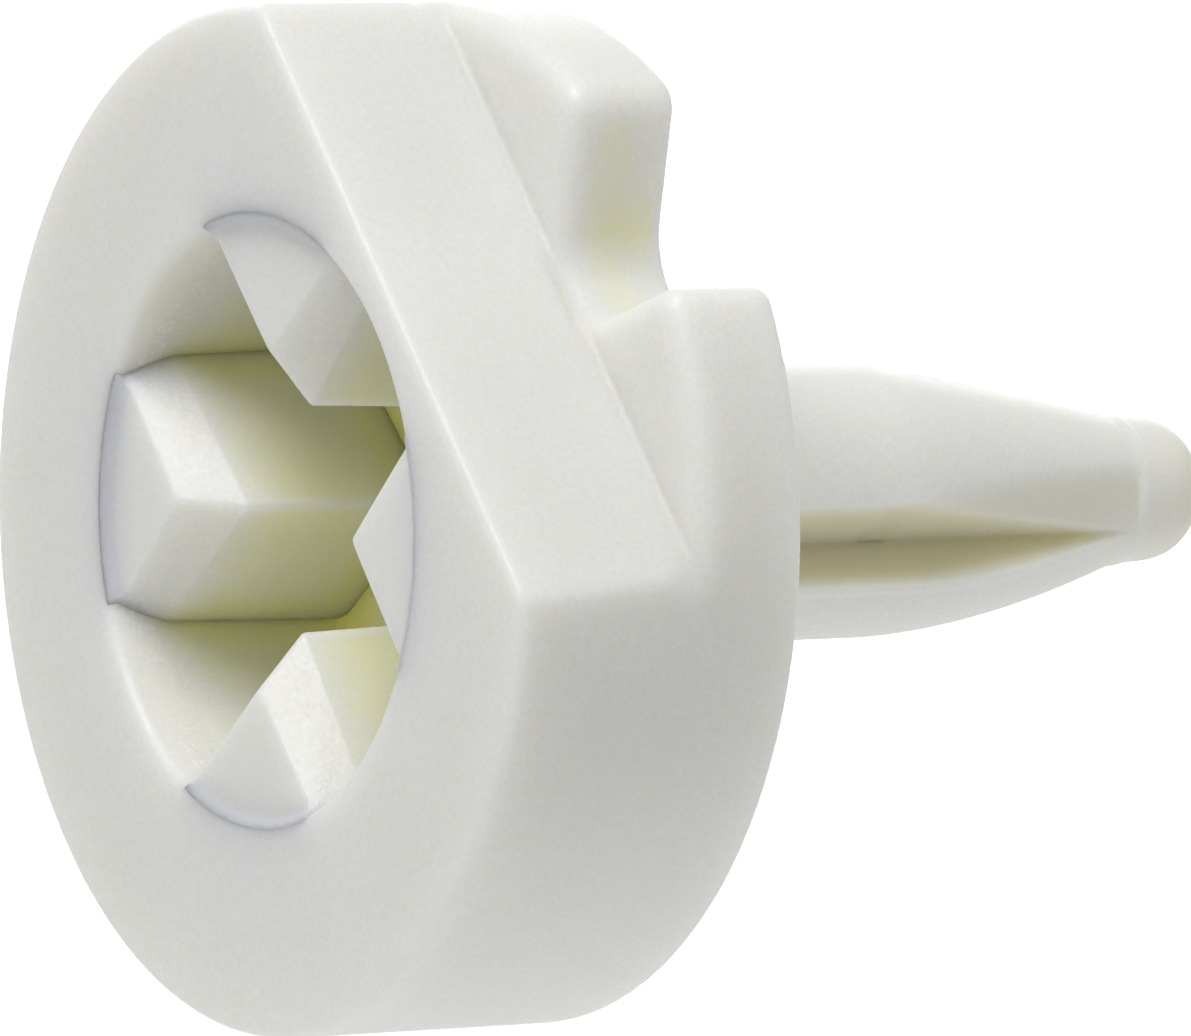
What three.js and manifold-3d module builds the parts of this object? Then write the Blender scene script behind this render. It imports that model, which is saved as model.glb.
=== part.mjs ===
// Wall anchor: one moulding with a thick round head and a grooved, tapered plug shank.
// Millimetres. X to the right and Z up as the head's front face is looked at, +Y into the wall.
// The origin is on the shank's axis, in the plane of the head's wall-bearing back face.
// The head is cut by a keying flat whose normal lies halfway between +X and +Z.
import * as THREE from 'three';
import { mergeVertices } from 'three/addons/utils/BufferGeometryUtils.js';
import { ConvexGeometry } from 'three/addons/geometries/ConvexGeometry.js';
import Module from 'manifold-3d';

const wasm = await Module();
wasm.setup();

// ---- driving dimensions ----------------------------------------------------------------
const SHANK_DIAMETER = 6.0;        // plug hole size
const HEAD_DIAMETER = 21.8;
const HEAD_THICKNESS = 6.85;
const FACE_DEPTH = 4.25;           // front part of the head that the keying flat cuts
const WEB_THICKNESS = 1.0;         // closed back of the head, behind the drive recess
const ROOT_WIDTH = 6.0;            // square root block that carries the shank through the web
const HEAD_EDGE_RADIUS = 0.35;

const FLAT_ANGLE = 45;             // degrees from +X towards +Z
const FLAT_DISTANCE_FRONT = 7.4;   // axis to the flat, at the front face
const FLAT_DISTANCE_BACK = 7.7;    // the same at the shoulder: the flat has draft

const NOTCH_FLOOR_DISTANCE = FLAT_DISTANCE_BACK;
// The notch's side towards +X, then towards +Z: its floor's width from the centre line, and the
// angle in degrees of its wall against that line.
const NOTCH_LOWER_SIDE = { floorWidth: 1.05, wallAngle: 24 };
const NOTCH_UPPER_SIDE = { floorWidth: 0.65, wallAngle: 37 };
const NOTCH_CORNER_RADIUS = 0.5;   // rounded corners of the rim lobes
const NOTCH_CORNER_START = 0.3;    // share of that radius where the corner leaves the rim

const RECESS_DIAMETER = 12.8;
const RIB_SEAT_DISTANCE = 5.7;     // axis to the flat seat that a drive rib stands on
const RIB_SETBACK = 0.3;           // rib front ends behind the front face
const RIB_LEAD_DEPTH = 1.1;        // sloped lead-in of each rib, along Y
const RIB_FRONT = { ridge: 3.6, halfWidth: 2.4 };
const RIB_LEAD_END = { ridge: 2.35, halfWidth: 2.85 };
const RIB_FLOOR = { ridge: 2.25, halfWidth: 2.9 };

const STRAIGHT_LENGTH = 8.15;      // full-diameter stretch of the shank
const TAPER_END = 14.8;            // where the taper meets the tip knob
const UPPER_TAPER_CURVE = 1.1;     // over 1 eases the taper in from the full diameter
const LOWER_TAPER_CURVE = 1.75;
const SHANK_LENGTH = 16.95;
const KNOB_DIAMETER = 3.3;
const KNOB_DOME_LENGTH = 1.25;
const KNOB_DOME_FULLNESS = 0.6;    // under 1 makes the dome blunter than an ellipse
const GROOVE_APEX = { x: 1.48, z: -0.75 };
const GROOVE_WALL_ANGLE = 34;      // degrees: upper wall of the groove, from +X towards +Z
const GROOVE_CREST_ANGLE = 5;      // degrees: upper lip of the groove on the full diameter
const GROOVE_LIP_ANGLE = -33;      // degrees: lower lip of the groove on the full diameter
const SIDE_FACET_TOP_ANGLE = 25;   // degrees: top of the side facet where it meets the knob
const SIDE_FACET_LEAST = 0.02;     // height of the side facet on the full diameter
const GROOVE_END_RISE = 0.03;      // upper lip above the groove's apex where it meets the knob
const GROOVE_END_TURN = 1;         // degrees: lower lip below the groove's apex at the knob

// ---- derived sizes and finish ----------------------------------------------------------
const HEAD_RADIUS = HEAD_DIAMETER / 2;
const RECESS_RADIUS = RECESS_DIAMETER / 2;
const SHANK_RADIUS = SHANK_DIAMETER / 2;
const KNOB_RADIUS = KNOB_DIAMETER / 2;
const FRONT_Y = -HEAD_THICKNESS;
const SHOULDER_Y = FRONT_Y + FACE_DEPTH;
const WEB_Y = -WEB_THICKNESS;
const ROUND_SEGMENTS = 96;
const CUTTER_OVERSIZE = 2;
const EDGE_STEPS = 3;
const LEG_ARC_STEPS = 14;
const TAPER_STEPS = 8;
const DOME_STEPS = 6;
const MERGE_TOLERANCE = 1e-5;
const SAME_POINT = 1e-4;

const radians = THREE.MathUtils.degToRad;

function nylon(shade) {
  return new THREE.MeshStandardMaterial({
    color: new THREE.Color(0.80 * shade, 0.81 * shade, 0.76 * shade),
    roughness: 0.5,
    metalness: 0,
  });
}

// ---- booleans --------------------------------------------------------------------------
function toSolid(geometry) {
  const bare = geometry.index ? geometry.toNonIndexed() : geometry.clone();
  bare.deleteAttribute('normal');
  bare.deleteAttribute('uv');
  const merged = mergeVertices(bare, MERGE_TOLERANCE);
  return new wasm.Manifold(new wasm.Mesh({
    numProp: 3,
    vertProperties: new Float32Array(merged.attributes.position.array),
    triVerts: new Uint32Array(merged.index.array),
  }));
}

function toGeometry(solid) {
  const mesh = solid.getMesh();
  const geometry = new THREE.BufferGeometry();
  geometry.setAttribute('position', new THREE.BufferAttribute(mesh.vertProperties.slice(), 3));
  geometry.setIndex(new THREE.BufferAttribute(mesh.triVerts.slice(), 1));
  geometry.computeVertexNormals();
  return geometry;
}

// ---- placing helpers -------------------------------------------------------------------
// An outline drawn in X and Z, extruded from backY towards the front until frontY.
function prism(outline, frontY, backY) {
  const geometry = new THREE.ExtrudeGeometry(outline, {
    depth: backY - frontY,
    bevelEnabled: false,
    curveSegments: ROUND_SEGMENTS / 4,
  });
  geometry.rotateX(Math.PI / 2);
  geometry.translate(0, backY, 0);
  return geometry;
}

// A solid of revolution about the Y axis from [radius, y] points that start and end on the axis.
function turned(points) {
  const profile = points.map(([radius, y]) => new THREE.Vector2(radius, y));
  return new THREE.LatheGeometry(profile, ROUND_SEGMENTS);
}

// Points of a quarter-round edge, from startAngle degrees onwards, in radius and Y.
function roundEdge(radiusCentre, yCentre, edgeRadius, startAngle) {
  return Array.from({ length: EDGE_STEPS + 1 }, (_, i) => {
    const angle = radians(startAngle + (90 * i) / EDGE_STEPS);
    return [radiusCentre + edgeRadius * Math.cos(angle), yCentre + edgeRadius * Math.sin(angle)];
  });
}

// A point on a circle about the axis, in X and Z.
function polar(radius, degrees) {
  return new THREE.Vector2(radius * Math.cos(radians(degrees)), radius * Math.sin(radians(degrees)));
}

// ---- head ------------------------------------------------------------------------------
// The recess outline: a circle with a flat seat under each of the four drive ribs.
function recessOutline() {
  const seatAngle = THREE.MathUtils.radToDeg(Math.acos(RIB_SEAT_DISTANCE / RECESS_RADIUS));
  const outline = new THREE.Shape();
  for (let quarter = 0; quarter < 4; quarter += 1) {
    const start = radians(90 * quarter + seatAngle);
    const end = radians(90 * (quarter + 1) - seatAngle);
    outline.absarc(0, 0, RECESS_RADIUS, start, end, false);
  }
  outline.closePath();
  return outline;
}

function recessCutter(frontY, backY) {
  return toSolid(prism(recessOutline(), frontY, backY));
}

// Everything beyond the keying flat, which leans outwards towards the shoulder.
function flatCutter() {
  const size = HEAD_DIAMETER * 2;
  const lean = Math.atan2(FLAT_DISTANCE_BACK - FLAT_DISTANCE_FRONT, FACE_DEPTH);
  const geometry = new THREE.BoxGeometry(size, size, size);
  geometry.translate(size / 2, 0, 0);
  geometry.rotateZ(-lean);
  geometry.translate(FLAT_DISTANCE_FRONT, FRONT_Y, 0);
  geometry.rotateY(-radians(FLAT_ANGLE));
  return toSolid(geometry);
}

function faceDisc() {
  const disc = turned([
    [0, FRONT_Y],
    ...roundEdge(HEAD_RADIUS - HEAD_EDGE_RADIUS, FRONT_Y + HEAD_EDGE_RADIUS, HEAD_EDGE_RADIUS, -90),
    [HEAD_RADIUS, SHOULDER_Y],
    [0, SHOULDER_Y],
  ]);
  const recess = recessCutter(FRONT_Y - CUTTER_OVERSIZE, SHOULDER_Y + CUTTER_OVERSIZE);
  return toGeometry(toSolid(disc).subtract(flatCutter()).subtract(recess));
}

// Corners of one side of the notch, from its floor outwards, as distances along and across the
// notch's centre line. The last two round the lobe's corner off where the wall meets the rim.
function notchSide({ floorWidth, wallAngle }) {
  const mouth = HEAD_RADIUS - NOTCH_CORNER_RADIUS;
  const mouthWidth = floorWidth + (mouth - NOTCH_FLOOR_DISTANCE) * Math.tan(radians(wallAngle));
  const rimWidth = mouthWidth + NOTCH_CORNER_RADIUS;
  return [
    [NOTCH_FLOOR_DISTANCE, floorWidth],
    [mouth, mouthWidth],
    [HEAD_RADIUS - NOTCH_CORNER_RADIUS * NOTCH_CORNER_START, rimWidth],
    [HEAD_RADIUS + CUTTER_OVERSIZE, rimWidth + NOTCH_CORNER_RADIUS],
  ];
}

// The notch through the rim, on the keying flat's centre line, with its floor flush with the flat.
function notchOutline() {
  const lower = notchSide(NOTCH_LOWER_SIDE).map(([along, across]) => [along, -across]);
  const upper = notchSide(NOTCH_UPPER_SIDE).reverse();
  const centre = new THREE.Vector2();
  const points = [...lower, ...upper].map(([along, across]) =>
    new THREE.Vector2(along, across).rotateAround(centre, radians(FLAT_ANGLE)));
  return new THREE.Shape(points);
}

function notchCutter() {
  return toSolid(prism(notchOutline(), SHOULDER_Y - CUTTER_OVERSIZE, CUTTER_OVERSIZE));
}

function rimFlange() {
  const disc = turned([
    [0, SHOULDER_Y],
    [HEAD_RADIUS, SHOULDER_Y],
    [HEAD_RADIUS, WEB_Y],
    [0, WEB_Y],
  ]);
  const recess = recessCutter(SHOULDER_Y - CUTTER_OVERSIZE, WEB_Y + CUTTER_OVERSIZE);
  return toGeometry(toSolid(disc).subtract(notchCutter()).subtract(recess));
}

// The closed back of the head, which bears on the wall around the shank's root.
function bearingWeb() {
  const disc = turned([
    [0, WEB_Y],
    [HEAD_RADIUS, WEB_Y],
    ...roundEdge(HEAD_RADIUS - HEAD_EDGE_RADIUS, -HEAD_EDGE_RADIUS, HEAD_EDGE_RADIUS, 0),
    [0, 0],
  ]);
  const rootHole = new THREE.BoxGeometry(ROOT_WIDTH, WEB_THICKNESS + CUTTER_OVERSIZE, ROOT_WIDTH);
  return toGeometry(toSolid(disc).subtract(notchCutter()).subtract(toSolid(rootHole)));
}

function shankRoot() {
  const geometry = new THREE.BoxGeometry(ROOT_WIDTH, WEB_THICKNESS, ROOT_WIDTH);
  geometry.translate(0, WEB_Y / 2, 0);
  return geometry;
}

// One V-shaped drive rib on its flat seat, drawn for the +X side of the recess.
function driveRib() {
  const stations = [
    [FRONT_Y + RIB_SETBACK, RIB_FRONT],
    [FRONT_Y + RIB_SETBACK + RIB_LEAD_DEPTH, RIB_LEAD_END],
    [WEB_Y, RIB_FLOOR],
  ];
  const corners = stations.flatMap(([y, { ridge, halfWidth }]) => [
    new THREE.Vector3(ridge, y, 0),
    new THREE.Vector3(RIB_SEAT_DISTANCE, y, halfWidth),
    new THREE.Vector3(RIB_SEAT_DISTANCE, y, -halfWidth),
  ]);
  return new ConvexGeometry(corners);
}

// ---- shank -----------------------------------------------------------------------------
// How far along the taper a station lies: 0 on the straight stretch, 1 at the knob.
function taperShare(y) {
  return Math.max(0, (y - STRAIGHT_LENGTH) / (TAPER_END - STRAIGHT_LENGTH));
}

function shankRadius(y, taperCurve) {
  return THREE.MathUtils.lerp(SHANK_RADIUS, KNOB_RADIUS, taperShare(y) ** taperCurve);
}

function sectionArc(radius, startAngle, endAngle) {
  return Array.from({ length: LEG_ARC_STEPS + 1 }, (_, i) => {
    const angle = THREE.MathUtils.lerp(startAngle, endAngle, i / LEG_ARC_STEPS);
    return [radius * Math.cos(angle), radius * Math.sin(angle)];
  });
}

// One station of a leg's section, in X and Z. The upper leg lies above the groove's apex plane
// and ends in a side facet on the taper; the lower leg lies below it. Both mirror about X = 0.
function upperLegSection(y) {
  const radius = shankRadius(y, UPPER_TAPER_CURVE);
  const share = taperShare(y);
  const crest = polar(radius, THREE.MathUtils.lerp(GROOVE_CREST_ANGLE, SIDE_FACET_TOP_ANGLE, share));
  const lipZ = THREE.MathUtils.lerp(crest.y - SIDE_FACET_LEAST, GROOVE_APEX.z + GROOVE_END_RISE, share);
  const lipX = GROOVE_APEX.x + (lipZ - GROOVE_APEX.z) / Math.tan(radians(GROOVE_WALL_ANGLE));
  const crestAngle = Math.atan2(crest.y, crest.x);
  return [
    [GROOVE_APEX.x, GROOVE_APEX.z],
    [lipX, lipZ],
    ...sectionArc(radius, crestAngle, Math.PI - crestAngle),
    [-lipX, lipZ],
    [-GROOVE_APEX.x, GROOVE_APEX.z],
  ];
}

function lowerLegSection(y) {
  const radius = shankRadius(y, LOWER_TAPER_CURVE);
  const share = taperShare(y);
  const apexAngle = THREE.MathUtils.radToDeg(Math.atan2(GROOVE_APEX.z, GROOVE_APEX.x));
  const lipAngle = radians(THREE.MathUtils.lerp(GROOVE_LIP_ANGLE, apexAngle - GROOVE_END_TURN, share));
  return [
    [-GROOVE_APEX.x, GROOVE_APEX.z],
    ...sectionArc(radius, -Math.PI - lipAngle, lipAngle),
    [GROOVE_APEX.x, GROOVE_APEX.z],
  ];
}

// A straight stretch of a leg is an extrusion of its section.
function straightLeg(section) {
  const points = section(0).map(([x, z]) => new THREE.Vector2(x, z));
  return prism(new THREE.Shape(points), 0, STRAIGHT_LENGTH);
}

// A tapering stretch is the same prism with each ring of vertices moved to its own section.
function taperedLeg(section) {
  const outline = section(STRAIGHT_LENGTH);
  const geometry = new THREE.ExtrudeGeometry(
    new THREE.Shape(outline.map(([x, z]) => new THREE.Vector2(x, z))),
    { depth: TAPER_END - STRAIGHT_LENGTH, steps: TAPER_STEPS, bevelEnabled: false },
  );
  geometry.rotateX(Math.PI / 2);
  geometry.translate(0, TAPER_END, 0);
  const position = geometry.attributes.position;
  for (let i = 0; i < position.count; i += 1) {
    const y = position.getY(i);
    const corner = outline.findIndex(([x, z]) =>
      Math.hypot(x - position.getX(i), z - position.getZ(i)) < SAME_POINT);
    const [x, z] = section(y)[corner];
    position.setXYZ(i, x, y, z);
  }
  return geometry;
}

function tipKnob() {
  const dome = Array.from({ length: DOME_STEPS }, (_, i) => {
    const angle = radians((90 * i) / DOME_STEPS);
    return [
      KNOB_RADIUS * Math.cos(angle) ** KNOB_DOME_FULLNESS,
      SHANK_LENGTH - KNOB_DOME_LENGTH * (1 - Math.sin(angle)),
    ];
  });
  return turned([[0, TAPER_END], [KNOB_RADIUS, TAPER_END], ...dome, [0, SHANK_LENGTH]]);
}

// ---- assembly --------------------------------------------------------------------------
const group = new THREE.Group();

function addPiece(parent, name, geometry, shade = 1) {
  const mesh = new THREE.Mesh(geometry, nylon(shade));
  mesh.name = name;
  parent.add(mesh);
  return mesh;
}

addPiece(group, 'face_disc', faceDisc());
addPiece(group, 'rim_flange', rimFlange(), 0.98);
addPiece(group, 'bearing_web', bearingWeb(), 0.96);

['right', 'top', 'left', 'bottom'].forEach((side, quarter) => {
  const rib = addPiece(group, `drive_rib_${side}`, driveRib(), 1.02);
  rib.rotation.y = -quarter * Math.PI / 2;
});

const shank = new THREE.Group();
group.add(shank);
addPiece(shank, 'shank_root', shankRoot());
addPiece(shank, 'upper_leg', straightLeg(upperLegSection));
addPiece(shank, 'lower_leg', straightLeg(lowerLegSection), 0.98);
addPiece(shank, 'upper_leg_taper', taperedLeg(upperLegSection));
addPiece(shank, 'lower_leg_taper', taperedLeg(lowerLegSection), 0.98);
addPiece(shank, 'tip_knob', tipKnob());

export default group;
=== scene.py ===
"""Looks of the wall anchor: a moulded nylon head, four drive ribs and a grooved plug shank.

Every shape here is carved from a distance formula, in millimetres, in the frame of the CAD model:
X to the right and Z up as the head's front face is looked at, +Y into the wall, origin on the
shank's axis in the plane of the head's back face. Blender's own units are metres.
"""

import math

import bpy
import numpy as np
from mathutils import Matrix, Vector


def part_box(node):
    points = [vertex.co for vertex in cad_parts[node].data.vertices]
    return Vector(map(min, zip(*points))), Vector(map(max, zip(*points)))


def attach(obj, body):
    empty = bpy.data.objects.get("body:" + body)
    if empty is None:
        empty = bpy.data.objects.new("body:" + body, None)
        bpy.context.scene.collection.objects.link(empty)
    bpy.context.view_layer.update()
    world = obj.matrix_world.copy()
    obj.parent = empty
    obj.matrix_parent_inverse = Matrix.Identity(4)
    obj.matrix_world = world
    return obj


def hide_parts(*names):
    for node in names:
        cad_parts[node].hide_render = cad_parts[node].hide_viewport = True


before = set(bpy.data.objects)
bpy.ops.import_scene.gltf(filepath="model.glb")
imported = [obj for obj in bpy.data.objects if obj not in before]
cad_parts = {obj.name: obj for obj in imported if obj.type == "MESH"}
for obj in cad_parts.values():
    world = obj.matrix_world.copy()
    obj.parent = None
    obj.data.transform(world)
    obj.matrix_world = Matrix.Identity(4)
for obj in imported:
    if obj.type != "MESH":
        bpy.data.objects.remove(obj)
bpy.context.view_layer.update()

MM = 0.001


def corners(node):
    """Lowest and highest corner of a CAD node, in millimetres."""
    low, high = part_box(node)
    return low / MM, high / MM


# ---- sizes read from the CAD nodes, in millimetres -----------------------------------------
SKIN = 0.005                                    # the looks stay this far inside the CAD box
HEAD_RADIUS = corners("bearing_web")[1].x - SKIN
FRONT = corners("face_disc")[0].y + SKIN
SHOULDER = corners("face_disc")[1].y            # where the keying flat ends
WEB = corners("bearing_web")[0].y               # floor of the drive recess
BACK = corners("bearing_web")[1].y
RIB_FRONT = corners("drive_rib_right")[0].y
SHANK_RADIUS = corners("upper_leg")[1].z - SKIN
TAPER_START = corners("upper_leg_taper")[0].y
TAPER_END = corners("upper_leg_taper")[1].y
KNOB_RADIUS = corners("tip_knob")[1].x - SKIN
TIP = corners("tip_knob")[1].y - SKIN

# ---- head, in millimetres ------------------------------------------------------------------
HEAD_EDGE = 0.32                                # radius of the rim's edges with the two faces
FLAT_EDGE = 0.14                                # of the keying flat's edges with the face and rim
SHOULDER_EDGE = 0.5                             # of the shoulder's edge with the rim
SHOULDER_EDGE_LEAD = 1.5                        # it starts to grow this many radii before the shoulder
LOBE_CORNER = 0.5                               # where the notch's walls meet the rim
CREASE = 0.12                                   # between the keying flat and the shoulder
FLAT_DISTANCE = 7.4                             # axis to the keying flat, at the front face
FLAT_LEAN = 0.3 / 4.25                          # its draft, outwards per unit of depth
NOTCH_FLOOR = 7.7                               # axis to the floor of the rim notch
NOTCH_FILLET = 0.5
RECESS_RADIUS = 6.4
RECESS_MOUTH_EDGE = 0.28
RECESS_FLOOR_FILLET = 0.3

# Each side of the notch: its floor's width from the centre line, and the angle of its wall against
# that line, in degrees.
NOTCH_LOWER_SIDE = (1.05, 24)                   # towards +X
NOTCH_UPPER_SIDE = (0.65, 37)                   # towards +Z

# ---- drive ribs, in millimetres --------------------------------------------------------------
# Depth behind the rib's front end, its ridge's distance from the axis, and the half angle between
# its two flanks in degrees: a sloped lead-in, then a straight deep stretch.
RIB_STATIONS = [(0.0, 3.6, 46.7), (1.1, 2.35, 40.5), (5.55, 2.2, 40.5)]
RIB_EDGE = 0.05
RIB_FILLET_WIDTH = 0.35                         # of a rib's front against the recess wall
RIB_FILLET_RISE = 0.22
RIDGE_SOFTNESS = 0.05
EMBED = 0.25                                    # how far a piece reaches into its neighbour

# ---- shank, in millimetres -----------------------------------------------------------------
UPPER_TAPER_CURVE = 1.1                         # over 1 eases the taper in from the full diameter
LOWER_TAPER_CURVE = 1.75
GROOVE_APEX = (1.48, -0.75)                     # X and Z of the groove's deepest line
GROOVE_UPPER_ANGLE = math.radians(34)
GROOVE_LOWER_ANGLE = math.radians(41)
CREST_ANGLE = math.radians(5)
FACET_TOP_ANGLE = math.radians(25)              # top of the side facet, at the knob
FACET_START = TAPER_START - 1.1                 # where the side facet begins
FACET_END_RISE = 0.03                           # lip above the groove's apex, at the knob
FACET_LEAST = 0.05                              # keeps the facet's direction defined where it begins
KNOB_DOME = 1.25
KNOB_WAIST = 1.58                               # the knob's radius where its dome starts
KNOB_CREASE = 0.1
SHANK_EDGE = 0.08


# ---- distance formulas: negative inside, positive outside -----------------------------------
def both(a, b, radius):
    """Inside a and b at once, with the edge between them rounded."""
    edge = np.hypot(np.maximum(radius + a, 0), np.maximum(radius + b, 0))
    return np.minimum(-radius, np.maximum(a, b)) + edge


def either(a, b, radius):
    """Inside a or b, with the crease between them filleted."""
    return -both(-a, -b, radius)


def blend(a, b, share):
    return a + (b - a) * share


def notch_wall(outwards, sideways, side):
    """One wall of the rim notch, from the notch's floor outwards."""
    width, angle = side
    angle = math.radians(angle)
    return (sideways - width) * math.cos(angle) - outwards * math.sin(angle)


def head(x, y, z):
    """The head, with its keying flat, rim notch and drive recess but without the ribs."""
    rho = np.hypot(x, z)
    along = (x + z) / math.sqrt(2)              # square to the keying flat
    across = (z - x) / math.sqrt(2)
    rim = rho - HEAD_RADIUS
    flat = (along - FLAT_DISTANCE - FLAT_LEAN * (y - FRONT)) / math.hypot(1, FLAT_LEAN)
    outwards = along - NOTCH_FLOOR
    lower_wall = notch_wall(outwards, -across, NOTCH_LOWER_SIDE)
    upper_wall = notch_wall(outwards, across, NOTCH_UPPER_SIDE)
    notch = both(-outwards, np.maximum(lower_wall, upper_wall), NOTCH_FILLET)
    lobes = both(rim, -notch, LOBE_CORNER)
    outline = np.minimum(lobes, both(rim, y - SHOULDER, FLAT_EDGE))
    body = both(outline, np.maximum(FRONT - y, y - BACK), HEAD_EDGE)
    near_shoulder = np.clip((y - SHOULDER) / SHOULDER_EDGE + SHOULDER_EDGE_LEAD, 0, 1)
    edge = blend(FLAT_EDGE, SHOULDER_EDGE, near_shoulder)
    body = both(body, either(flat, SHOULDER - y, CREASE), edge)
    recess = both(rho - RECESS_RADIUS, y - WEB, RECESS_FLOOR_FILLET)
    return both(body, -recess, RECESS_MOUTH_EDGE)


def rib_turned(quarter):
    """The distance formula of one V-shaped rib: quarter 0 stands on the +X side, 1 on the +Z side."""
    turn = quarter * math.pi / 2
    depths, ridges, half_angles = zip(*RIB_STATIONS)

    def rib(x, y, z):
        outwards = x * math.cos(turn) + z * math.sin(turn)
        sideways = np.hypot(z * math.cos(turn) - x * math.sin(turn), RIDGE_SOFTNESS)
        ridge = np.interp(y - RIB_FRONT, depths, ridges)
        half_angle = np.radians(np.interp(y - RIB_FRONT, depths, half_angles))
        flanks = sideways * np.cos(half_angle) - (outwards - ridge) * np.sin(half_angle)
        rho = np.hypot(x, z)
        rise = RIB_FILLET_RISE * np.clip((rho - RECESS_RADIUS) / RIB_FILLET_WIDTH + 1, 0, 1) ** 2
        hidden = np.maximum(rho - RECESS_RADIUS - EMBED, y - WEB - EMBED)
        return np.maximum(both(RIB_FRONT - rise - y, flanks, RIB_EDGE), hidden)

    return rib


def taper_share(y):
    """0 on the shank's straight stretch, 1 at the knob."""
    return np.clip((y - TAPER_START) / (TAPER_END - TAPER_START), 0, 1)


def round_shank(x, y, z):
    """The shank without its grooves and side facets."""
    above_apex = np.clip(0.5 + (z - GROOVE_APEX[1]) / (2 * SHANK_EDGE), 0, 1)
    eased = taper_share(y) ** blend(LOWER_TAPER_CURVE, UPPER_TAPER_CURVE, above_apex)
    return np.hypot(x, z) - blend(SHANK_RADIUS, KNOB_RADIUS, eased)


def shank(x, y, z):
    """The plug shank, with its side grooves, side facets and tip knob."""
    rho = np.hypot(x, z)
    side = np.abs(x)
    apex_x, apex_z = GROOVE_APEX
    taper = taper_share(y)

    # The side facet runs between its top edge on the round body and the lip of the groove.
    radius = blend(SHANK_RADIUS, KNOB_RADIUS, taper ** UPPER_TAPER_CURVE)
    top_angle = blend(CREST_ANGLE, FACET_TOP_ANGLE, taper)
    top_x, top_z = radius * np.cos(top_angle), radius * np.sin(top_angle)
    lip = np.clip((y - FACET_START) / (TAPER_END - FACET_START), 0, 1)
    lip_z = blend(SHANK_RADIUS * math.sin(CREST_ANGLE), apex_z + FACET_END_RISE, lip)
    lip_x = apex_x + (lip_z - apex_z) / math.tan(GROOVE_UPPER_ANGLE)
    rise, lean = np.maximum(top_z - lip_z, FACET_LEAST), top_x - lip_x
    facet = ((side - top_x) * rise - (z - top_z) * lean) / np.hypot(rise, lean)
    facet = np.where(z > apex_z, facet, -SHANK_RADIUS)

    above = (z - apex_z) * math.cos(GROOVE_UPPER_ANGLE) - (side - apex_x) * math.sin(GROOVE_UPPER_ANGLE)
    below = (apex_z - z) * math.cos(GROOVE_LOWER_ANGLE) - (side - apex_x) * math.sin(GROOVE_LOWER_ANGLE)
    legs = both(round_shank(x, y, z), facet, SHANK_EDGE)
    legs = both(legs, -both(above, below, SHANK_EDGE), SHANK_EDGE)
    legs = both(legs, y - TAPER_END - EMBED, SHANK_EDGE)
    along_knob = np.clip((y - TAPER_END) / (TIP - KNOB_DOME - TAPER_END), 0, 1)
    knob_radius = blend(KNOB_RADIUS, KNOB_WAIST, along_knob)
    knob = both(both(rho - knob_radius, y - TIP, KNOB_DOME), TAPER_END - y, SHANK_EDGE)
    return np.maximum(either(legs, knob, KNOB_CREASE), BACK - EMBED - y)


RIBS = {name: rib_turned(quarter) for quarter, name in enumerate(("right", "top", "left", "bottom"))}


def whole(x, y, z):
    """The whole moulding."""
    solid = np.minimum(head(x, y, z), shank(x, y, z))
    for rib in RIBS.values():
        solid = np.minimum(solid, rib(x, y, z))
    return solid


# ---- from a distance formula to a closed mesh of quads ---------------------------------------
PROBE = 0.01                                    # from a point to each sample of its slope, in mm
GRID_MARGIN = 1.5                               # around the piece, in grid steps
PROJECTIONS = 4                                 # how often each point is moved onto the surface
LEAST_SLOPE = 0.5                               # keeps those moves short where the slope fades
LEAST_LENGTH = 1e-9                             # keeps a normal from being divided by zero


def slope_of(distance, points):
    """The formula's gradient at points."""
    gradient = np.empty_like(points)
    for axis in range(3):
        shift = np.zeros(3)
        shift[axis] = PROBE
        ahead, behind = points + shift, points - shift
        gradient[:, axis] = (distance(*ahead.T) - distance(*behind.T)) / (2 * PROBE)
    return gradient


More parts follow.
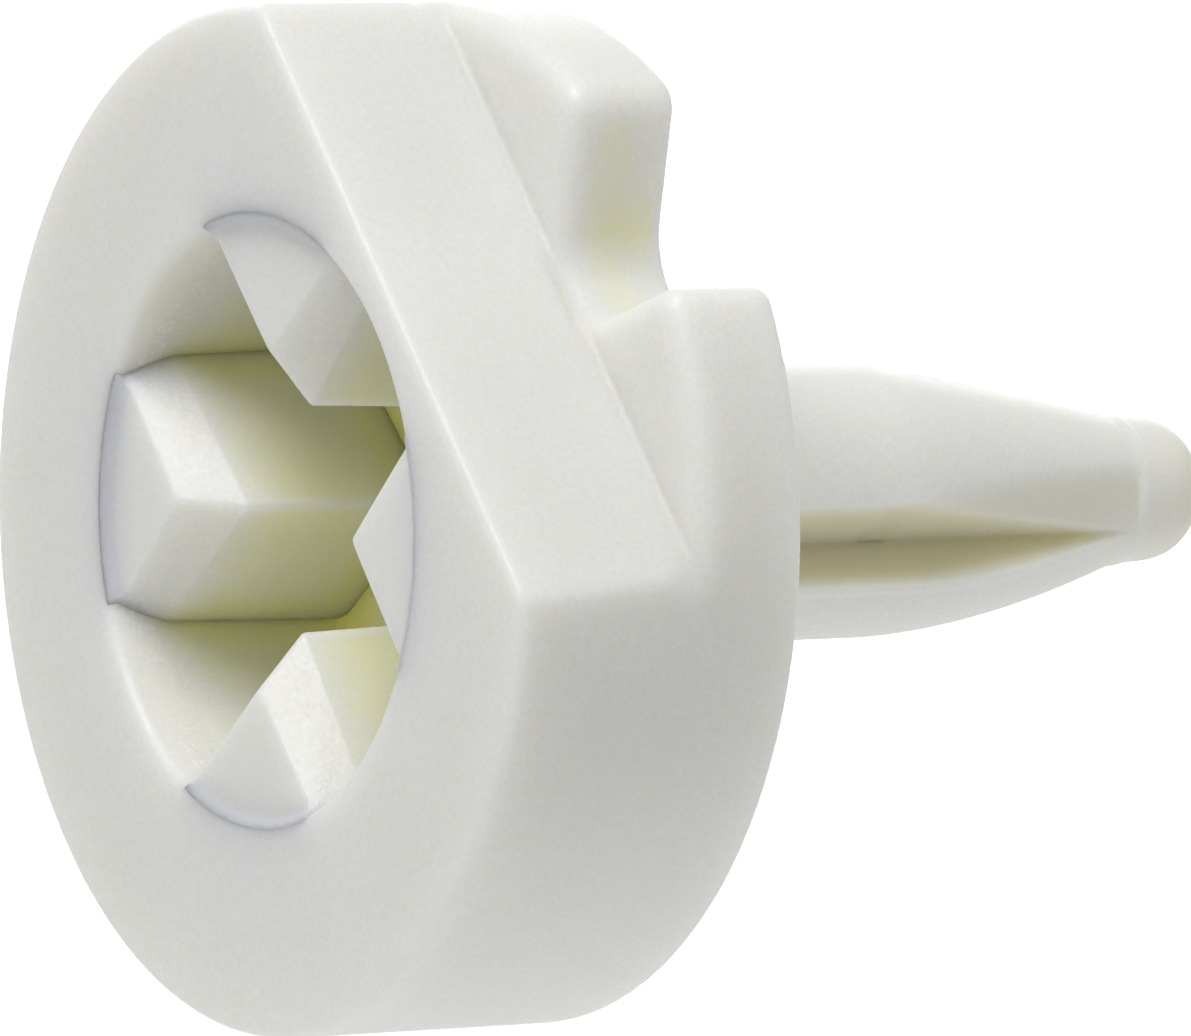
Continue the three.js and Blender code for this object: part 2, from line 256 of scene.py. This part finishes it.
def carve(distance, low, high, step):
    """Points, quads and unit normals of the surface where distance is zero, on a grid of that step."""
    before, after = GRID_MARGIN * step, (GRID_MARGIN + 1) * step
    axes = [np.arange(a - before, b + after, step) for a, b in zip(low, high)]
    field = distance(*np.meshgrid(*axes, indexing="ij"))
    inside = field < 0
    cells = tuple(n - 1 for n in field.shape)
    total = np.zeros(cells + (3,))
    crossings = np.zeros(cells)
    for axis in range(3):
        others = [i for i in range(3) if i != axis]
        for offset in ((0, 0), (0, 1), (1, 0), (1, 1)):
            start = [0, 0, 0]
            start[others[0]], start[others[1]] = offset
            end = list(start)
            end[axis] = 1
            first = tuple(slice(s, s + n) for s, n in zip(start, cells))
            second = tuple(slice(s, s + n) for s, n in zip(end, cells))
            crossed = inside[first] != inside[second]
            share = np.where(crossed, field[first] / np.where(crossed, field[first] - field[second], 1), 0)
            place = np.array(start, float) * crossed[..., None]
            place[..., axis] = share
            total += place
            crossings += crossed
    used = crossings > 0
    number = np.full(cells, -1)
    number[used] = np.arange(used.sum())
    corner = np.stack(np.nonzero(used), axis=1)
    origin = np.array([a[0] for a in axes])
    points = origin + step * (corner + total[used] / crossings[used][:, None])
    quads = []
    for axis in range(3):
        ahead, behind = np.moveaxis(inside, axis, 0)[1:], np.moveaxis(inside, axis, 0)[:-1]
        layers = np.moveaxis(number, axis, 0)
        ring = [layers[:, :-1, :-1], layers[:, 1:, :-1], layers[:, 1:, 1:], layers[:, :-1, 1:]]
        for crossed, order in ((behind & ~ahead, (0, 1, 2, 3)), (ahead & ~behind, (3, 2, 1, 0))):
            mask = crossed[:, 1:-1, 1:-1]
            found = np.stack([ring[i][mask] for i in order], axis=1)
            quads.append(found[:, ::-1] if axis == 1 else found)
    for _ in range(PROJECTIONS):
        gradient = slope_of(distance, points)
        steepness = np.maximum((gradient ** 2).sum(1), LEAST_SLOPE ** 2)
        points -= gradient * (distance(*points.T) / steepness)[:, None]
    normals = slope_of(distance, points)
    normals /= np.maximum(np.linalg.norm(normals, axis=1), LEAST_LENGTH)[:, None]
    return points, np.concatenate(quads), normals


# ---- what the materials need to know about each point, in millimetres: where they paint shade and highlights ---
HOLLOW_REACH = (0.5, 1.0, 2.0, 4.0)             # how far out the surroundings are felt
EDGE_REACH = 0.3                                # how far in a convex edge is felt
RECESS_FADE = 2.2                               # the painted shade grows over this depth into the recess
NOTCH_SHADE_START = 0.2                          # the notch's painted shade starts this far behind the flat
NOTCH_FADE = 1.0                                # and grows over this depth
GROOVE_SHADE_DEPTH = 0.45                        # below the round shank, where the painted shade is full


def enclosed(points, normals):
    """How enclosed each point of the head or a rib is, from 0 to 1, in the recess and the notch: the share
    of painted shade there.
    """
    cavity_shade = np.zeros(len(points))
    for reach in HOLLOW_REACH:
        clear = whole(*(points + normals * reach).T)
        cavity_shade += np.clip(1 - clear / reach, 0, 1) / len(HOLLOW_REACH)
    x, y, z = points.T
    in_recess = (np.hypot(x, z) < RECESS_RADIUS + EMBED) & (y < WEB + EMBED)
    in_notch = np.clip((y - SHOULDER - NOTCH_SHADE_START) / NOTCH_FADE, 0, 1) * (y < BACK - HEAD_EDGE)
    deep = np.clip((y - RIB_FRONT) / RECESS_FADE, 0, 1)
    return cavity_shade * np.where(in_recess, deep, in_notch)


def sunken(points):
    """How far each point of the shank lies below its round body, from 0 to 1: the share of painted shade
    in its grooves.
    """
    return np.clip(-round_shank(*points.T) / GROOVE_SHADE_DEPTH, 0, 1)


def near_edge(points, normals, solid):
    """How close each point is to a convex edge of the solid, from 0 to 1: the share of painted highlight
    there.
    """
    depth = -solid(*(points - normals * EDGE_REACH).T)
    return np.clip(1 - depth / EDGE_REACH, 0, 1)


# ---- pieces ----------------------------------------------------------------------------------
def turned(distance, angle):
    """The same formula, drawn in X and Z axes that are turned by the angle about Y."""
    sine, cosine = math.sin(angle), math.cos(angle)

    def formula(x, y, z):
        return distance(x * cosine - z * sine, y, x * sine + z * cosine)

    return formula


def moulded_piece(name, distance, low, high, step, material, nodes, solid, grid_angle=0.0):
    """Carves one piece, gives it its material, and lets it stand for its CAD nodes.

    solid is what its edges are felt against: the whole moulding, or the shank alone.
    """
    points, quads, normals = carve(turned(distance, grid_angle), low, high, step)
    turn = np.array(Matrix.Rotation(-grid_angle, 3, "Y"))
    points, normals = points @ turn.T, normals @ turn.T
    mesh = bpy.data.meshes.new(name)
    mesh.from_pydata((points * MM).tolist(), [], quads.tolist())
    mesh.polygons.foreach_set("use_smooth", np.ones(len(quads), bool))
    mesh.normals_split_custom_set_from_vertices(normals.tolist())
    # the share of painted shade, and the share of painted highlight along convex edges, kept on the mesh
    cavity_shade = sunken(points) if solid is shank else enclosed(points, normals)
    for field, values in (("cavity_shade", cavity_shade), ("edge", near_edge(points, normals, solid))):
        attribute = mesh.attributes.new(field, "FLOAT", "POINT")
        attribute.data.foreach_set("value", values.astype(np.float32))
    mesh.materials.append(material)
    piece = bpy.data.objects.new(name, mesh)
    bpy.context.scene.collection.objects.link(piece)
    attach(piece, "root")
    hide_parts(*nodes)


# ---- materials -----------------------------------------------------------------------------
NYLON = (0.84, 0.843, 0.825, 1)
NYLON_CAVITY_SHADE = (0.87, 0.86, 0.48, 1)              # painted shade: the olive tint deep in the recess and in the notch
NYLON_GROOVE_SHADE = (0.77, 0.745, 0.55, 1)           # painted shade in the shank's grooves
NYLON_EDGE_HIGHLIGHT_AND_PEAK = (0.93, 0.93, 0.91, 1)              # painted highlight along convex edges, and the eroded grain's own lighter peaks
NYLON_CLOUD = (0.83, 0.83, 0.80, 1)
NYLON_SPECK = (0.74, 0.74, 0.70, 1)
NYLON_IOR = 1.53
SCATTER_RADIUS = (1.0, 0.97, 0.75)              # of red, green and blue, as shares of the scale
SCATTER_SCALE = 0.0015                          # metres
ROUGHNESS = (0.42, 0.55)                        # least and most

CLOUD_NOISE = (260.0, 3.0)                      # scale per metre, and octaves of detail
FINE_NOISE = (9000.0, 2.0)
COARSE_NOISE = (6500.0, 3.0)
SATIN_RELIEF = 0.00002                          # metres
SATIN_STRENGTH = 0.5
ERODED_STRENGTH = 0.9
ERODED_FULL = 0.4                               # share of its depth with full eroded grain

# Where each effect starts and where it is full, as values of the noise or the mesh attribute.
CLOUD_BAND = (0.35, 0.65)
SPECK_BAND = (0.35, 0.75)
GRAIN_BAND = (0.3, 0.7)
PEAK_BAND = (0.5, 0.7)
EDGE_HIGHLIGHT_BAND = (0.15, 0.8)
INNER_BAND = (0.01, 0.06)                       # of the painted shade attribute: tells the recess from the face
SPECK_SHARE = 0.4                               # how much of the speck's colour and of the painted edge highlight shows
EDGE_HIGHLIGHT_SHARE = 0.6


class Nodes:
    """A short way to build a material's node tree."""

    def __init__(self, material):
        self.tree = material.node_tree
        self.tree.nodes.clear()

    def add(self, kind, inputs=None, **settings):
        node = self.tree.nodes.new(kind)
        for key, value in settings.items():
            setattr(node, key, value)
        for key, value in (inputs or {}).items():
            if isinstance(value, bpy.types.NodeSocket):
                self.tree.links.new(value, node.inputs[key])
            else:
                node.inputs[key].default_value = value
        return node

    def mix(self, share, first, second):
        """A colour mix; 0, 6 and 7 are the mix node's share and colour sockets, 2 its colour output."""
        return self.add("ShaderNodeMix", {0: share, 6: first, 7: second}, data_type="RGBA").outputs[2]

    def multiply(self, first, second):
        return self.add("ShaderNodeMath", {0: first, 1: second}, operation="MULTIPLY").outputs[0]

    def remap(self, value, start, end, low=0.0, high=1.0):
        limits = {"Value": value, "From Min": start, "From Max": end, "To Min": low, "To Max": high}
        return self.add("ShaderNodeMapRange", limits, clamp=True).outputs[0]

    def attribute(self, name):
        return self.add("ShaderNodeAttribute", attribute_name=name).outputs["Fac"]

    def noise(self, where, scale, detail):
        inputs = {"Vector": where, "Scale": scale, "Detail": detail}
        return self.add("ShaderNodeTexNoise", inputs).outputs["Fac"]


def nylon(name, deep, hollow_start, hollow_end, eroded_depth, eroded_relief):
    """Moulded nylon: satin grain all over, and spark-eroded grain down to eroded_depth in the recess.

    The colour turns to deep, a painted shade, as the shade attribute goes from hollow_start to hollow_end.
    eroded_depth is in millimetres, and eroded_relief in metres.
    """
    material = bpy.data.materials.new(name)
    material.use_nodes = True
    n = Nodes(material)
    where = n.add("ShaderNodeTexCoord").outputs["Object"]
    y = n.add("ShaderNodeSeparateXYZ", {0: where}).outputs["Y"]
    # painted shade: the colour turns to deep in the recess, the notch and the shank's grooves
    cavity_shade = n.remap(n.attribute("cavity_shade"), hollow_start, hollow_end)
    # painted highlight: lighter along convex edges
    edge = n.remap(n.attribute("edge"), *EDGE_HIGHLIGHT_BAND, 0.0, EDGE_HIGHLIGHT_SHARE)
    cloud = n.remap(n.noise(where, *CLOUD_NOISE), *CLOUD_BAND)
    fine = n.noise(where, *FINE_NOISE)
    coarse = n.noise(where, *COARSE_NOISE)
    colour = n.mix(cloud, NYLON, NYLON_CLOUD)
    colour = n.mix(n.remap(fine, *SPECK_BAND, 0.0, SPECK_SHARE), colour, NYLON_SPECK)
    colour = n.mix(cavity_shade, colour, deep)
    colour = n.mix(edge, colour, NYLON_EDGE_HIGHLIGHT_AND_PEAK)
    fade_start, fade_end = FRONT + ERODED_FULL * eroded_depth, FRONT + eroded_depth
    shallow = n.remap(y, fade_start * MM, fade_end * MM, 1.0, 0.0)
    inner = n.remap(n.attribute("cavity_shade"), *INNER_BAND)
    eroded = n.multiply(n.multiply(shallow, inner), coarse)
    colour = n.mix(n.remap(eroded, *PEAK_BAND), colour, NYLON_EDGE_HIGHLIGHT_AND_PEAK)
    satin = n.add("ShaderNodeBump", {
        "Strength": SATIN_STRENGTH,
        "Distance": SATIN_RELIEF,
        "Height": fine,
    })
    rough = n.add("ShaderNodeBump", {
        "Strength": ERODED_STRENGTH,
        "Distance": eroded_relief,
        "Height": eroded,
        "Normal": satin.outputs[0],
    })
    shader = n.add("ShaderNodeBsdfPrincipled", {
        "Base Color": colour,
        "Roughness": n.remap(fine, *GRAIN_BAND, *ROUGHNESS),
        "IOR": NYLON_IOR,
        "Normal": rough.outputs[0],
        "Subsurface Weight": 1.0,
        "Subsurface Radius": SCATTER_RADIUS,
        "Subsurface Scale": SCATTER_SCALE,
    })
    out = n.add("ShaderNodeOutputMaterial")
    n.tree.links.new(shader.outputs[0], out.inputs[0])
    return material


# ---- camera --------------------------------------------------------------------------------
CAMERA_AZIMUTH = math.radians(57.6)             # round from the front towards the +X side
CAMERA_ELEVATION = math.radians(6.5)
CAMERA_ROLL = math.radians(2.0)
CAMERA_DISTANCE = 277.3 * MM
CAMERA_TARGET = Vector((3.855, FRONT + 6.142, 0.319)) * MM
CAMERA_LENS = 398.7                             # millimetres, as the sensor's width
CAMERA_SENSOR = 36
CAMERA_NEAR = 0.01                              # metres
CAMERA_FAR = 50


def add_camera():
    """Adds the camera, and gives the direction from its target back to it."""
    camera = bpy.data.objects.new("camera", bpy.data.cameras.new("camera"))
    bpy.context.scene.collection.objects.link(camera)
    bpy.context.scene.camera = camera
    level = math.cos(CAMERA_ELEVATION)
    right, forwards = math.sin(CAMERA_AZIMUTH) * level, -math.cos(CAMERA_AZIMUTH) * level
    back = Vector((right, forwards, math.sin(CAMERA_ELEVATION)))
    aim = back.to_track_quat("Z", "Y").to_matrix().to_4x4()
    turn = Matrix.Rotation(CAMERA_ROLL, 4, "Z")
    camera.matrix_world = Matrix.Translation(CAMERA_TARGET + back * CAMERA_DISTANCE) @ aim @ turn
    camera.data.lens = CAMERA_LENS
    camera.data.sensor_width = CAMERA_SENSOR
    camera.data.clip_start = CAMERA_NEAR
    camera.data.clip_end = CAMERA_FAR
    return back


# ---- studio, in metres ---------------------------------------------------------------------
FLOOR_DROP = 60 * MM
FLOOR_SIZE = 8.0
FLOOR_COLOUR = (0.93, 0.93, 0.93, 1)
FLOOR_ROUGHNESS = 0.9
TENT_FRONT = (0.14, 0.14, 0.14, 1)              # all round the head's side, towards -Y
TENT_BACK = (0.85, 0.85, 0.85, 1)               # straight behind the wall side, towards +Y


def add_floor():
    mesh = bpy.data.meshes.new("floor")
    half = FLOOR_SIZE / 2
    outline = [(-half, -half, 0), (half, -half, 0), (half, half, 0), (-half, half, 0)]
    mesh.from_pydata(outline, [], [(0, 1, 2, 3)])
    floor = bpy.data.objects.new("floor", mesh)
    floor.location.z = -FLOOR_DROP
    bpy.context.scene.collection.objects.link(floor)
    material = bpy.data.materials.new("pale_floor")
    material.use_nodes = True
    n = Nodes(material)
    shader = n.add("ShaderNodeBsdfPrincipled", {
        "Base Color": FLOOR_COLOUR,
        "Roughness": FLOOR_ROUGHNESS,
        "Specular IOR Level": 0.0,
    })
    out = n.add("ShaderNodeOutputMaterial")
    n.tree.links.new(shader.outputs[0], out.inputs[0])
    mesh.materials.append(material)


def add_softbox(name, place, aim, width, height, power):
    """A rectangular area light; place, aim, width and height are in metres."""
    light = bpy.data.lights.new(name, "AREA")
    light.shape = "RECTANGLE"
    light.size = width
    light.size_y = height
    light.energy = power
    softbox = bpy.data.objects.new(name, light)
    softbox.location = place
    softbox.rotation_euler = (Vector(place) - Vector(aim)).to_track_quat("Z", "Y").to_euler()
    bpy.context.scene.collection.objects.link(softbox)


def add_world():
    """A soft tent: pale towards +Y, dark towards -Y."""
    world = bpy.data.worlds.new("tent")
    bpy.context.scene.world = world
    world.use_nodes = True
    n = Nodes(world)
    where = n.add("ShaderNodeTexCoord").outputs["Generated"]
    behind = n.add("ShaderNodeVectorMath", {0: where, 1: (0, 1, 0)}, operation="DOT_PRODUCT")
    colour = n.mix(n.remap(behind.outputs["Value"], 0.0, 1.0), TENT_FRONT, TENT_BACK)
    background = n.add("ShaderNodeBackground", {"Color": colour, "Strength": 1.0})
    out = n.add("ShaderNodeOutputWorld")
    n.tree.links.new(background.outputs[0], out.inputs[0])


KEY_DIRECTION = Vector((0.2, -0.45, 0.86)).normalized()
KEY_DISTANCE = 0.3
KEY_SIZE = 0.16
KEY_POWER = 0.72                                # watts
BACKDROP_DISTANCE = 0.7                         # behind the object, along the camera's view
BACKDROP_HEIGHT = 0.2
BACKDROP_WIDTH = 0.5
BACKDROP_LENGTH = 0.9
BACKDROP_POWER = 4.3                            # watts


def add_lights(camera_side):
    """The key light over the head's front, and one that whitens the floor behind the object."""
    add_softbox("key_softbox", KEY_DIRECTION * KEY_DISTANCE, (0, 0, 0), KEY_SIZE, KEY_SIZE, KEY_POWER)
    behind = Vector((-camera_side.x, -camera_side.y, 0)).normalized() * BACKDROP_DISTANCE
    over = behind + Vector((0, 0, BACKDROP_HEIGHT))
    add_softbox("backdrop_softbox", over, behind, BACKDROP_WIDTH, BACKDROP_LENGTH, BACKDROP_POWER)


# ---- the scene -----------------------------------------------------------------------------
camera_side = add_camera()
bpy.context.scene.view_settings.view_transform = "Standard"

moulded = nylon("nylon", NYLON_CAVITY_SHADE, hollow_start=0.15, hollow_end=0.55,
                eroded_depth=2.4, eroded_relief=0.00008)
eroded = nylon("nylon_eroded", NYLON_CAVITY_SHADE, hollow_start=0.15, hollow_end=0.5,
               eroded_depth=1.6, eroded_relief=0.0001)
smooth = nylon("nylon_shank", NYLON_GROOVE_SHADE, hollow_start=0.0, hollow_end=1.0,
               eroded_depth=0.0, eroded_relief=0.0)

HEAD_STEP = 0.15                                # grid steps, in millimetres
RIB_STEP = 0.09
SHANK_STEP = 0.1
RIB_REACH = RECESS_RADIUS + EMBED

# The head's grid is turned, so that its rows run along the keying flat.
moulded_piece("head_shell", head,
              (-HEAD_RADIUS, FRONT, -HEAD_RADIUS), (HEAD_RADIUS, BACK, HEAD_RADIUS), HEAD_STEP,
              moulded, ("face_disc", "rim_flange", "bearing_web", "shank_root"),
              whole, grid_angle=math.pi / 4)
for side, rib in RIBS.items():
    moulded_piece(f"rib_{side}", rib,
                  (-RIB_REACH, RIB_FRONT - RIB_FILLET_RISE, -RIB_REACH),
                  (RIB_REACH, WEB + EMBED, RIB_REACH), RIB_STEP,
                  eroded, (f"drive_rib_{side}",), whole)
moulded_piece("plug_shank", shank,
              (-SHANK_RADIUS, BACK - EMBED, -SHANK_RADIUS), (SHANK_RADIUS, TIP, SHANK_RADIUS),
              SHANK_STEP, smooth,
              ("upper_leg", "lower_leg", "upper_leg_taper", "lower_leg_taper", "tip_knob"), shank)

add_floor()
add_world()
add_lights(camera_side)
